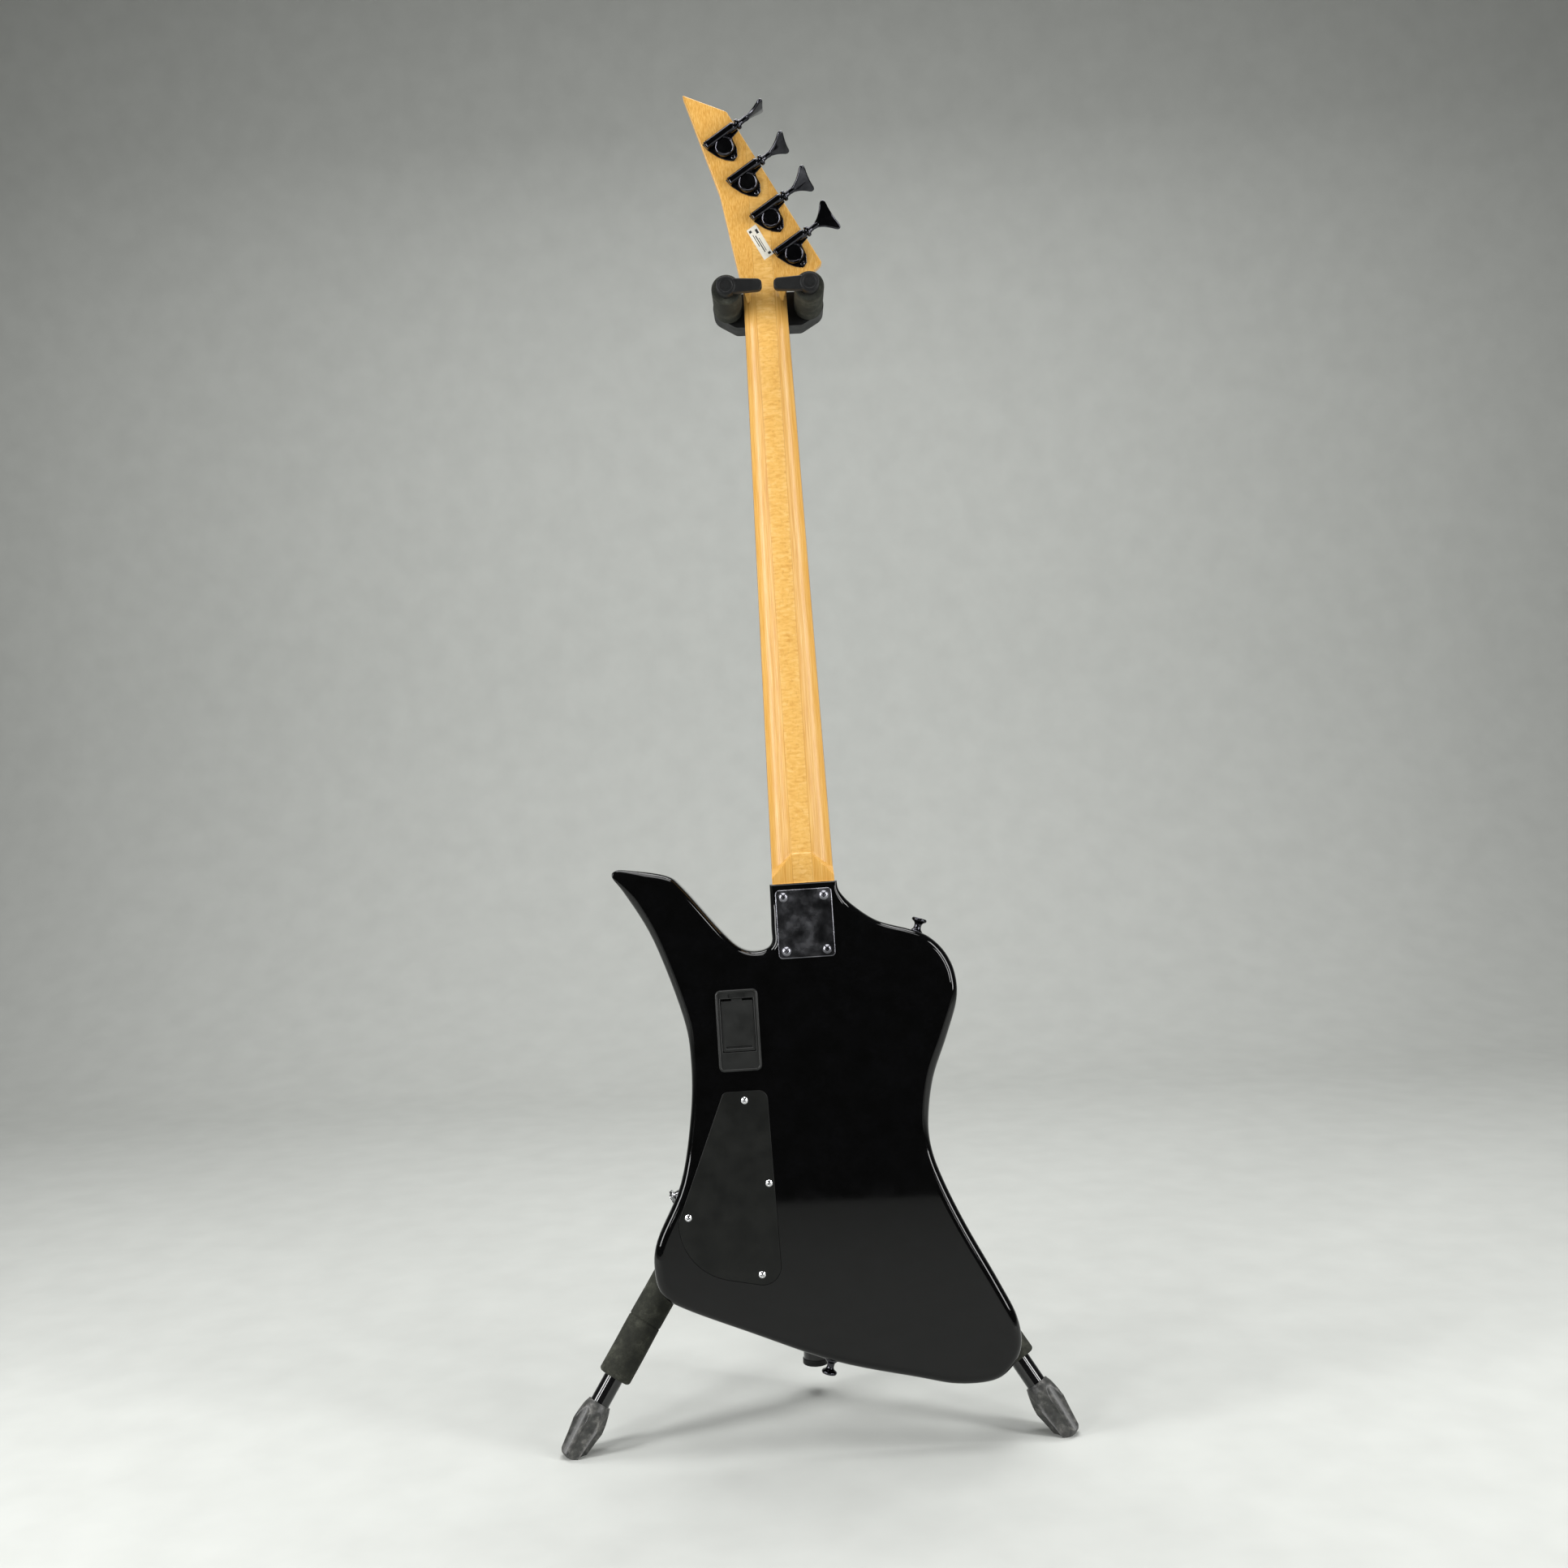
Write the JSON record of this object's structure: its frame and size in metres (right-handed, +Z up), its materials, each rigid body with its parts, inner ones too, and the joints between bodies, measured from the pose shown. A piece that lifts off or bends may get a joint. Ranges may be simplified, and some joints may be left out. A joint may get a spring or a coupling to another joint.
{
  "type": "guitar on stand",
  "caption": "Black electric bass with a horned, wing-shaped body hanging by its pointed headstock, seen from behind, in the closing yoke of a folding tripod stand.",
  "frame": {"origin": "on the floor, under the middle of the assembly's bounding box", "axes": "+Z up the mast, +Y from the instrument towards the mast and the rear leg, +X across to the side of the tuner keys"},
  "size_m": [0.49, 0.4513, 1.2967],
  "materials": {
    "black_lacquer": "deep gloss polyurethane",
    "maple": "satin, golden",
    "rosewood": "oiled",
    "nickel_silver": "polished",
    "bone": "satin",
    "spring_steel": "wound",
    "black_abs": "satin, fine grain",
    "black_nickel": "mirror",
    "black_chrome": "mirror",
    "polished_steel": "polished",
    "pickup_cover": "satin",
    "circuit_board": "solder mask",
    "battery_case": "printed can",
    "cover_sheet": "satin, engraved laminate",
    "gloss_tube": "gloss black powder coat",
    "glass_nylon": "satin moulded",
    "bush_plastic": "plain",
    "foam": "matt closed-cell foam",
    "foot_rubber": "satin"
  },
  "bodies": {
    "mast": {"mast_lower": "gloss_tube", "mast_cap": "glass_nylon", "clutch_collar": "glass_nylon", "clutch_bush": "bush_plastic", "leg_hub": "glass_nylon", "leg_pins": "polished_steel"},
    "upper_mast": {"mast_upper": "gloss_tube", "head_post": "glass_nylon"},
    "yoke": {"yoke": "glass_nylon", "arm_foam": "foam"},
    "guitar": {"guitar_body": "black_lacquer", "neck": "maple", "fretboard": "rosewood", "frets": "nickel_silver", "nut": "bone", "truss_rod": "spring_steel", "truss_rod_cover": "black_abs", "neck_plate": "black_nickel", "neck_screws": "black_nickel", "tuner_housings": "black_chrome", "tuner_screws": "black_chrome", "bridge_plate": "black_chrome", "bridge_saddles": "polished_steel", "bridge_screws": "polished_steel", "pickup_front": "pickup_cover", "pickup_rear": "pickup_cover", "pickup_screws": "polished_steel", "pots": "polished_steel", "preamp_board": "circuit_board", "output_jack": "polished_steel", "battery_box": "black_abs", "battery": "battery_case", "control_cover": "cover_sheet", "cover_screws": "polished_steel", "strap_buttons": "black_chrome", "strap_screws": "polished_steel", "strings": "spring_steel"},
    "gate_left": {"gate_left": "glass_nylon"},
    "gate_right": {"gate_right": "glass_nylon"},
    "tuner_key_1": {"tuner_key_1": "black_chrome"},
    "tuner_post_1": {"tuner_post_1": "black_chrome"},
    "tuner_key_2": {"tuner_key_2": "black_chrome"},
    "tuner_post_2": {"tuner_post_2": "black_chrome"},
    "tuner_key_3": {"tuner_key_3": "black_chrome"},
    "tuner_post_3": {"tuner_post_3": "black_chrome"},
    "tuner_key_4": {"tuner_key_4": "black_chrome"},
    "tuner_post_4": {"tuner_post_4": "black_chrome"},
    "knob_1": {"knob_1": "black_chrome"},
    "knob_2": {"knob_2": "black_chrome"},
    "knob_3": {"knob_3": "black_chrome"},
    "battery_door": {"battery_door": "black_abs"},
    "leg_left": {"leg_left": "gloss_tube", "foam_left": "foam", "foot_left": "foot_rubber"},
    "leg_right": {"leg_right": "gloss_tube", "foam_right": "foam", "foot_right": "foot_rubber"},
    "leg_rear": {"leg_rear": "gloss_tube", "foot_rear": "foot_rubber"},
    "clutch_knob": {"clutch_knob": "glass_nylon"}
  },
  "joints": [
    {"name": "mast_height", "type": "slide", "parent": "mast", "child": "upper_mast", "axis": [0, 0, 1], "range_m": [0, 0.1]},
    {"name": "yoke_slide", "type": "slide", "parent": "upper_mast", "child": "yoke", "axis": [0, 0, 1], "range_m": [0, 0.012]},
    {"name": "gate_left_swing", "type": "hinge", "parent": "yoke", "child": "gate_left", "pos_m": [-0.04, -0.1299, 1.099], "axis": [0, -1, 0], "range_deg": [0, 80]},
    {"name": "gate_right_swing", "type": "hinge", "parent": "yoke", "child": "gate_right", "pos_m": [0.04, -0.1299, 1.099], "axis": [0, 1, 0], "range_deg": [0, 80]},
    {"name": "guitar_lift", "type": "slide", "parent": "yoke", "child": "guitar", "axis": [0, 0, 1], "range_m": [0, 0.03]},
    {"name": "key_1_turn", "type": "hinge", "parent": "guitar", "child": "tuner_key_1", "pos_m": [0.02247, -0.13081, 1.14778], "axis": [0.8378, -0.046, 0.544], "continuous": true},
    {"name": "post_1_turn", "type": "hinge", "parent": "guitar", "child": "tuner_post_1", "pos_m": [0.02732, -0.10901, 1.14215], "axis": [-0.003, 0.996, 0.0889], "continuous": true},
    {"name": "key_2_turn", "type": "hinge", "parent": "guitar", "child": "tuner_key_2", "pos_m": [0.00139, -0.13396, 1.18233], "axis": [0.8378, -0.046, 0.544], "continuous": true},
    {"name": "post_2_turn", "type": "hinge", "parent": "guitar", "child": "tuner_post_2", "pos_m": [0.00624, -0.11216, 1.1767], "axis": [-0.003, 0.996, 0.0889], "continuous": true},
    {"name": "key_3_turn", "type": "hinge", "parent": "guitar", "child": "tuner_key_3", "pos_m": [-0.0197, -0.1371, 1.21688], "axis": [0.8378, -0.046, 0.544], "continuous": true},
    {"name": "post_3_turn", "type": "hinge", "parent": "guitar", "child": "tuner_post_3", "pos_m": [-0.01485, -0.1153, 1.21126], "axis": [-0.003, 0.996, 0.0889], "continuous": true},
    {"name": "key_4_turn", "type": "hinge", "parent": "guitar", "child": "tuner_key_4", "pos_m": [-0.04078, -0.14025, 1.25144], "axis": [0.8378, -0.046, 0.544], "continuous": true},
    {"name": "post_4_turn", "type": "hinge", "parent": "guitar", "child": "tuner_post_4", "pos_m": [-0.03593, -0.11845, 1.24581], "axis": [-0.003, 0.996, 0.0889], "continuous": true},
    {"name": "knob_1_turn", "type": "hinge", "parent": "guitar", "child": "knob_1", "pos_m": [-0.0694, -0.1682, 0.29514], "axis": [0, 0.9977, -0.068], "range_deg": [-150, 150]},
    {"name": "knob_2_turn", "type": "hinge", "parent": "guitar", "child": "knob_2", "pos_m": [-0.07851, -0.17134, 0.24906], "axis": [0, 0.9977, -0.068], "range_deg": [-150, 150]},
    {"name": "knob_3_turn", "type": "hinge", "parent": "guitar", "child": "knob_3", "pos_m": [-0.08163, -0.17448, 0.2031], "axis": [0, 0.9977, -0.068], "range_deg": [-150, 150]},
    {"name": "battery_door_swing", "type": "hinge", "parent": "guitar", "child": "battery_door", "pos_m": [-0.05844, -0.20525, 0.37808], "axis": [0.9998, 0.0013, 0.0192], "range_deg": [0, 105]},
    {"name": "leg_left_fold", "type": "hinge", "parent": "mast", "child": "leg_left", "pos_m": [-0.02598, -0.0699, 0.321], "axis": [0.5, -0.866, 0], "range_deg": [0, 36]},
    {"name": "leg_right_fold", "type": "hinge", "parent": "mast", "child": "leg_right", "pos_m": [0.02598, -0.0699, 0.321], "axis": [0.5, 0.866, 0], "range_deg": [0, 36]},
    {"name": "leg_rear_fold", "type": "hinge", "parent": "mast", "child": "leg_rear", "pos_m": [0, -0.0249, 0.321], "axis": [-1, 0, 0], "range_deg": [0, 36]},
    {"name": "clutch_knob_turn", "type": "hinge", "parent": "mast", "child": "clutch_knob", "pos_m": [0, -0.0349, 0.444], "axis": [0, 1, 0], "range_deg": [-180, 180]}
  ],
  "couplings": [
    {"joint": "gate_left_swing", "follows": "yoke_slide", "rad_per_m": 116},
    {"joint": "gate_right_swing", "follows": "yoke_slide", "rad_per_m": 116},
    {"joint": "post_1_turn", "follows": "key_1_turn", "ratio": 0.05},
    {"joint": "post_2_turn", "follows": "key_2_turn", "ratio": 0.05},
    {"joint": "post_3_turn", "follows": "key_3_turn", "ratio": 0.05},
    {"joint": "post_4_turn", "follows": "key_4_turn", "ratio": 0.05}
  ]
}
